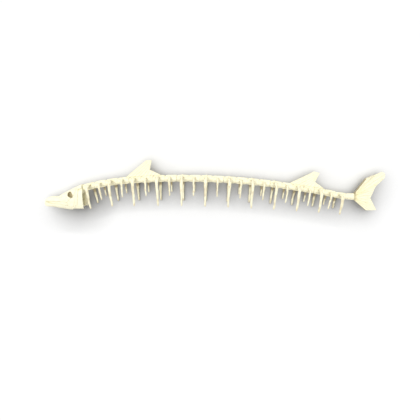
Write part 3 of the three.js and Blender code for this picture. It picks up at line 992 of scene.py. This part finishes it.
def cranium_side_relief(points):
    """The nostrils, the raised rim round the eye, streaks on the snout and a fan behind them."""
    x, z = points[:, 0], points[:, 2]
    relief = 0.0
    for *hole, radius in NOSTRILS:
        relief = relief - NOSTRIL_DEPTH * bell(about(points, hole)[1], radius)
    for share, width, height in (EYE_RIM, EYE_GROOVE):
        relief = relief + height * bell(about(points, EYE)[1] - EYE_RADIUS * share, width)
    turn, far = about(points, ROOF_CENTRE)
    fan = fine_lines("roof_fan", turn, points) * smoothstep(4, 14, far)
    streaks = fine_lines("snout_streaks", z - 0.35 * x, points)
    return relief + mix(streaks, fan, smoothstep(*SNOUT_TO_ROOF, x))


def roof_relief(points):
    """The seam along the middle of the head's roof, its two ridges and its fine strands."""
    x, y = points[:, 0], points[:, 1]
    seam = bell(y + 0.8 * noise(points, 4, 21), 0.5)
    ridges = bell(np.abs(y) - np.interp(x, *ROOF_RIDGES), 1.6)
    return 0.5 * ridges - 0.45 * seam + fine_lines("roof_strands", y, points * [0.3, 1, 1])


SIDE_RELIEF = {
    "cranium": cranium_side_relief, "upper_jaw": upper_jaw_relief, "cheek": cheek_relief,
    "lower_jaw": lower_jaw_relief, "gill_cover": gill_cover_relief,
}


def skull_relief(points, normal, region):
    """How far the skull's surface stands out or in at each point, in mm."""
    weave = SUTURE["weave"] * np.stack([noise(points, 5, seed) for seed in (3, 4)], -1)
    distance = np.min([distance_to(line, points, weave) for line in SUTURES[region]], axis=0)
    sutures = bell(distance, SUTURE["width"])
    pits = smoothstep(0.5, 0.8, noise(points, 2.8, 5))
    side = SIDE_RELIEF[region](points) - SUTURE["depth"] * sutures - 0.5 * pits
    relief = 0.12 * noise(points, 7, 1) + 0.05 * noise(points, 2.2, 2)
    relief = relief + side * smoothstep(0.2, 0.6, np.abs(normal[:, 1]))
    if region == "cranium":
        relief = relief + roof_relief(points) * smoothstep(0.3, 0.8, normal[:, 2])
    return relief


def skull_piece(thing, region, ending=""):
    """A skull bone's finished piece from its scratch object."""
    bone = region + ending
    points, faces = remeshed(thing, SKULL_VOXEL)
    points = relaxed(points, faces, 3)
    normal = normals_of(points, faces)
    points = points + normal * skull_relief(points, normal, region)[:, None]
    points[:, 0] = np.maximum(points[:, 0], HEAD_FRONT)
    # Painted shade: the colour darkens in the hollows, and deep in the eye sockets.
    shade_and_stain = hollowness(points, faces, 12)
    if region == "cranium":
        sunk = head_half(points[:, 0]) - np.abs(points[:, 1])
        near_eye = smoothstep(1.3 * EYE_RADIUS, EYE_RADIUS, about(points, EYE)[1])
        shade_and_stain = np.maximum(shade_and_stain, 0.6 * smoothstep(4, 9, sunk) * near_eye)
    piece(f"skull_{bone}", (points, faces, np.clip(shade_and_stain * 1.6, 0, 1)), "skull_bone", [bone])


def build_skull():
    whole, core = head_form(0), head_form(FACE_BONE_DEPTH)
    deep_core = head_form(FACE_BONE_DEPTH + BONE_GAP)
    half_gap = BONE_GAP / 2

    def right_through(outline, margin):
        return prism(grown(outline, margin), -SKULL_WIDE, SKULL_WIDE)

    cranium = mesh_object("scratch", *whole)
    for outline in (UPPER_JAW, CHEEK, GILL_COVER):
        cutter = mesh_object("cutter", *right_through(outline, half_gap))
        combine(cutter, deep_core, "DIFFERENCE")
        combine(cranium, taken(cutter), "DIFFERENCE")
    combine(cranium, right_through(LOWER_JAW, half_gap), "DIFFERENCE")
    for side in (-1, 1):
        combine(cranium, socket(side), "DIFFERENCE")
    combine(cranium, right_through(GULLET, 0), "DIFFERENCE")
    combine(cranium, behind_skull(), "DIFFERENCE")
    skull_piece(cranium, "cranium")

    jaw = mesh_object("scratch", *whole)
    combine(jaw, right_through(LOWER_JAW, -half_gap), "INTERSECT")
    cleft = np.array([(x, y, z) for z in (-160, -60) for x, y in JAW_CLEFT], float)
    sides = [[0, 3, 2, 1], [4, 5, 6, 7]]
    sides += [[i, (i + 1) % 4, 4 + (i + 1) % 4, 4 + i] for i in range(4)]
    combine(jaw, (cleft, sides), "DIFFERENCE")
    skull_piece(jaw, "lower_jaw")

    for word, side in (("left", -1), ("right", 1)):
        for region, outline, clear in (
            ("upper_jaw", UPPER_JAW, FACE_GAP), ("cheek", CHEEK, FACE_GAP),
            ("gill_cover", GILL_COVER, THROAT_HALF_WIDTH),
        ):
            y0, y1 = (clear, SKULL_WIDE) if side > 0 else (-SKULL_WIDE, -clear)
            bone = mesh_object("scratch", *whole)
            combine(bone, prism(grown(outline, -half_gap), y0, y1), "INTERSECT")
            combine(bone, core, "DIFFERENCE")
            skull_piece(bone, region, f"_{word}")


def shoulder_girdle():
    """The two cleithra: bowed down each side within the gill covers, and joined below."""
    path = GIRDLE_PATH + [(-y, z) for y, z in reversed(GIRDLE_PATH[:-1])]
    line = by_length(catmull_rom([(0, y, z) for y, z in path], 400), GIRDLE_STEPS)
    away = np.abs(np.linspace(-1, 1, GIRDLE_STEPS))
    across = np.array([1.0, 0, 0])
    normal = np.cross(across, unit(np.gradient(line, axis=0)))
    end = blunt_end(away, 0.93, 1.0, 0.03)[:, None] / 2
    turn = full_turn(GIRDLE_SIDES)
    fold = 1 - 0.3 * bell(np.cos(turn), 0.35)
    points, faces = tube(swept(
        line + [GIRDLE["x"], 0, 0], across, end * GIRDLE["width"] * np.cos(turn),
        normal, end * GIRDLE["thickness"] * np.sin(turn) * fold,
    ))
    return points, faces, 0.3 * smoothstep(-0.2, 0.8, noise(points, 4, 51))


# ---- fins

FIN_STEP = 0.55
TAIL_STEP = 0.82
ROW_STEP = 1.3  # a row's height, in steps
WEB = 0.42  # the web's thickness as a share of the rays'
FIN_RIM = 2.2  # width over which the free edge is rounded
RIM_LEFT = 0.3  # what is left of the thickness at the edge
LEADING_RIM_LEFT = 0.85
LEAST_HALF = 0.25  # of the thickness, mm
RAY_WIDTH = 0.3  # in ray spacings, as are the next four
SPINE_TIP_WIDTH = 0.14
SOFT_TIP_WIDTH = 0.12
FORK = 0.23  # how far from a soft ray's line its two forks are at the edge
TWIG = 0.11  # how far from the forks the twigs are
RAY_JOINT = 4.2  # length between two joints of a soft ray, mm
FLUTE = 1.3  # from one flute of the leading rays to the next, in half ray spacings
EDGE_LEVELS = 11  # rows of points across the edge between the two faces
EDGE_GROOVE = 0.35


def polyline(points):
    """A function that reads a line of (x, z) points by a share of its length."""
    p = np.array(points, float)
    run = run_along(p)
    return lambda share: read_line(p, run, share * run[-1])


def ray_height(out, across, reach, spiny):
    """How high each place of a fin is, from 0 on the web to 1 on the middle of a ray."""
    number = np.round(across)
    nearest = np.abs(across - number)
    if spiny:
        spine = bell(nearest, mix(RAY_WIDTH, SPINE_TIP_WIDTH, out**0.7))
        return spine * smoothstep(1.06, 0.6, out)
    branching = smoothstep(0.6, 1.0, out)
    fork = np.abs(nearest - FORK * smoothstep(0.3, 0.85, out))
    twig = np.abs(fork - TWIG * branching)
    ray = bell(fork, mix(RAY_WIDTH, SOFT_TIP_WIDTH, out**0.7)) * (1 - 0.3 * branching)
    ray = np.maximum(ray, bell(twig, 0.07) * smoothstep(0.6, 0.8, out))
    joints = np.clip(np.cos(out * reach * 2 * np.pi / RAY_JOINT + 2.4 * number), 0, 1) ** 10
    return ray * (1 - 0.28 * joints * smoothstep(0.18, 0.4, out))


def closed_plate(left, right, rows, columns, grooves, fade):
    """A plate from its two faces, the places round its border and the grooves in its edge."""
    count = rows * columns
    sheet = grid_faces(rows, columns, closed=False)
    ring = np.concatenate([
        np.arange(columns), np.arange(1, rows) * columns + columns - 1,
        (rows - 1) * columns + np.arange(columns - 2, -1, -1),
        np.arange(rows - 2, 0, -1) * columns,
    ])
    level = np.arange(1, EDGE_LEVELS + 1)[:, None] / (EDGE_LEVELS + 1)
    between = mix(left[ring][None], right[ring][None], level[..., None])
    outline = left[ring][:, [0, 2]]
    run = unit(np.roll(outline, -1, 0) - np.roll(outline, 1, 0))
    groove = (0.5 - 0.5 * np.cos(2 * np.pi * grooves * level)) * fade[ring][None]
    inwards = EDGE_GROOVE * groove * np.sign(signed_area(outline))
    between[..., 0] -= inwards * run[:, 1]
    between[..., 2] += inwards * run[:, 0]
    inner = 2 * count + np.arange(between[..., 0].size).reshape(EDGE_LEVELS, -1)
    strip = [ring, *inner, ring + count]
    faces = np.concatenate([sheet, sheet[:, ::-1] + count] + [
        np.stack([np.roll(low, -1), low, high, np.roll(high, -1)], -1)
        for low, high in zip(strip, strip[1:])
    ])
    return np.concatenate([left, right, between.reshape(-1, 3)]), faces, ring, groove


def fin(root, edge, rays, half, spiny, seed, step=FIN_STEP, leading=None):
    """A closed plate with raised rays and a thin web, ruled from its root to its free edge."""
    span = run_along(edge)[-1]
    columns = int(span / step)
    share = np.linspace(0, 1, columns)
    a, b = root(share), polyline(edge)(share)
    reach = np.linalg.norm(b - a, axis=1)
    rows = int(reach.max() / (step * ROW_STEP))
    out = np.linspace(0, 1, rows)[:, None]
    place = a[None] + out[..., None] * (b - a)[None]
    up = out * reach[None]  # above the root, mm
    across = share[None, :] * rays
    from_side = np.minimum(share, 1 - share)[None]
    ray = ray_height(out, across, reach[None], spiny)
    body = mix(*half, out**0.7) * mix(WEB, 1, ray)
    body = body + 0.9 * bell(up - 2.5, 2.2) * bell(across - np.round(across), 0.28)
    rim_left = RIM_LEFT
    # Painted shade: the web between the rays and the fin's foot are darker.
    fin_shade = (1 - ray) * 0.2 + 0.25 * bell(up, 5)
    if leading:
        leading_half, width = leading
        border = from_side * 2 * rays
        stout = smoothstep(width + 1.2, width - 0.6, border)
        flute = np.clip(np.cos(border * np.pi * 2 / FLUTE), 0, 1)
        body = mix(body, leading_half * (1 - 0.08 * flute) * (1 - 0.12 * out), stout)
        rim_left = mix(RIM_LEFT, LEADING_RIM_LEFT, stout)
        # Painted shade on the leading edges' side faces, a painted shadow at the root's corner,
        # and darker flutes.
        fin_shade = fin_shade + 0.65 * smoothstep(0.13, 0.04, from_side * rays)
        fin_shade = fin_shade + 0.9 * bell(up, 4.5) * bell(across, 1.2)
        fin_shade = fin_shade + 0.3 * flute * stout * smoothstep(0.1, 0.3, out)

    def sheet_at(y):
        return np.stack([place[..., 0], y, place[..., 1]], -1).reshape(-1, 3)

    flat = sheet_at(0 * body)
    body = body * (1 + 0.06 * noise(flat, 3, seed + 61).reshape(body.shape))
    margin = np.minimum((1 - out) * reach[None], from_side * span)
    body = np.maximum(body * mix(rim_left, 1, quarter_round(margin / FIN_RIM)), LEAST_HALF)
    warp = 0.5 * noise(flat, 30, seed + 71).reshape(body.shape) * smoothstep(0.05, 0.5, out)
    points, faces, ring, groove = closed_plate(
        sheet_at(warp - body), sheet_at(warp + body), rows, columns, 3 if leading else 1,
        smoothstep(0.5, 4, up).reshape(-1),
    )
    fin_shade = fin_shade.reshape(-1)
    # The grooves in the plate's edge get painted shade as well.
    shade_and_stain = np.concatenate([fin_shade, fin_shade, (fin_shade[ring][None] + 0.25 * groove).reshape(-1)])
    return points, faces, np.clip(shade_and_stain, 0, 1)


def dorsal(base, **shape):
    front, back = (backbone.distance_at(x) for x in base)

    def root(share):
        s = mix(front, back, share)
        return backbone.beside(s, 0, CREST_TOP * backbone_scale(s) - 1.2)[:, [0, 2]]

    return fin(root, **shape)


# ---- the skeleton

for length in range(VERTEBRAE // IN_A_LENGTH):
    node = f"backbone_{length + 1}"
    both = [f"{node}_left", f"{node}_right"]
    piece(f"vertebrae_{length + 1}", vertebrae(length), "backbone_bone", both)
    for word, side in (("left", -1), ("right", 1)):
        piece(f"ribs_{length + 1}_{word}", ribs(length, side), "backbone_bone", [f"{node}_{word}"])

build_skull()
piece("girdle", shoulder_girdle(), "skull_bone", ["shoulder_girdle"])
piece("dorsal_fin_1", dorsal(**FIRST_DORSAL), "fin_rays", ["first_dorsal_fin"])
piece("dorsal_fin_2", dorsal(**SECOND_DORSAL), "fin_rays", ["second_dorsal_fin"])
tail = fin(polyline(TAIL_ROOT), step=TAIL_STEP, **TAIL)
piece("tail_fin_rays", tail, "fin_rays", ["tail_fin"])

# ---- stage, light and camera

FLOOR_SIZE = 12.0
CAMERA_AT = (0.0, -1387.5, 241.5)  # in the fish's frame, mm
CAMERA_RIGHT = (0.99992, -0.00309, -0.01211)
CAMERA_UP = (0.0, 0.96900, -0.24707)
CAMERA_BACK = (0.01250, 0.24706, 0.96892)
SENSOR = 36.0
LENS = 34.286
WORLD_STRENGTH = 0.4
BACKDROP = 1.0  # how bright the empty studio looks beyond the floor
# Each soft light: the way to it in the row frame, the degrees it spreads over, its strength.
KEY = ((-0.25, 0.6, 1.0), 60.0, 1.7)
TOP = ((0.0, 0.1, 1.0), 44.0, 1.22)
FLOOR_SHADE = 0.83
# The floor's colour carries a painted shadow: an ambient-occlusion node darkens it near the bones.
FLOOR_SHADOW_REACH = 0.13  # how near the bones darken the floor beside them, m
FLOOR_SHADOW_DEPTH = 1.6
FLOOR_SHADOW_FROM = (-0.4, 1.1, 1.0)  # the side of the sky that they hide from it


def floor():
    corners = FLOOR_SIZE / 2 * np.array([(-1, -1, 0), (1, -1, 0), (1, 1, 0), (-1, 1, 0)])
    ground = mesh_object("studio_floor", corners, [[0, 1, 2, 3]])
    material, shader, nodes, links = new_material("floor_paper")
    set_inputs(shader, {"Roughness": 0.9, "Specular IOR Level": 0.0})
    sky = nodes.new("ShaderNodeCombineXYZ")
    set_inputs(sky, dict(zip("XYZ", Vector(FLOOR_SHADOW_FROM).normalized())))
    near = nodes.new("ShaderNodeAmbientOcclusion")
    near.samples = 32
    set_inputs(near, {"Distance": FLOOR_SHADOW_REACH})
    links.new(sky.outputs["Vector"], near.inputs["Normal"])
    depth = nodes.new("ShaderNodeMath")
    depth.operation = "POWER"
    depth.inputs[1].default_value = FLOOR_SHADOW_DEPTH
    links.new(near.outputs["AO"], depth.inputs[0])
    paper_with_painted_shadow = colour_mix(nodes, links, depth.outputs[0], (0, 0, 0), (FLOOR_SHADE,) * 3)
    links.new(paper_with_painted_shadow, shader.inputs["Base Color"])
    ground.data.materials.append(material)


def soft_light(name, towards, spread, strength):
    light = bpy.data.lights.new(name, "SUN")
    light.angle = math.radians(spread)
    light.energy = strength
    lamp = add_object(name, light)
    lamp.location = towards
    lamp.rotation_euler = Vector(towards).to_track_quat("Z", "Y").to_euler()


def camera():
    data = bpy.data.cameras.new("camera")
    data.sensor_width = SENSOR
    data.lens = LENS
    data.clip_start = 0.01
    data.clip_end = 50
    eye = add_object("camera", data)
    turn = Matrix((CAMERA_RIGHT, CAMERA_UP, CAMERA_BACK)).transposed().to_4x4()
    eye.matrix_world = Matrix.Translation(in_row(*CAMERA_AT)) @ turn
    bpy.context.scene.camera = eye


def studio():
    """Soft light from all round, and a backdrop that is brighter than that light."""
    world = bpy.data.worlds.new("studio")
    world.use_nodes = True
    nodes, links = world.node_tree.nodes, world.node_tree.links
    seen = nodes.new("ShaderNodeLightPath")
    strength = nodes.new("ShaderNodeMapRange")
    set_inputs(strength, {"To Min": WORLD_STRENGTH, "To Max": BACKDROP})
    links.new(seen.outputs["Is Camera Ray"], strength.inputs["Value"])
    set_inputs(nodes["Background"], {"Color": (1, 1, 1, 1)})
    links.new(strength.outputs["Result"], nodes["Background"].inputs["Strength"])
    bpy.context.scene.world = world


studio()
bpy.context.scene.view_settings.view_transform = "Standard"
bpy.context.scene.view_settings.look = "None"
floor()
soft_light("key", *KEY)
soft_light("top", *TOP)
camera()
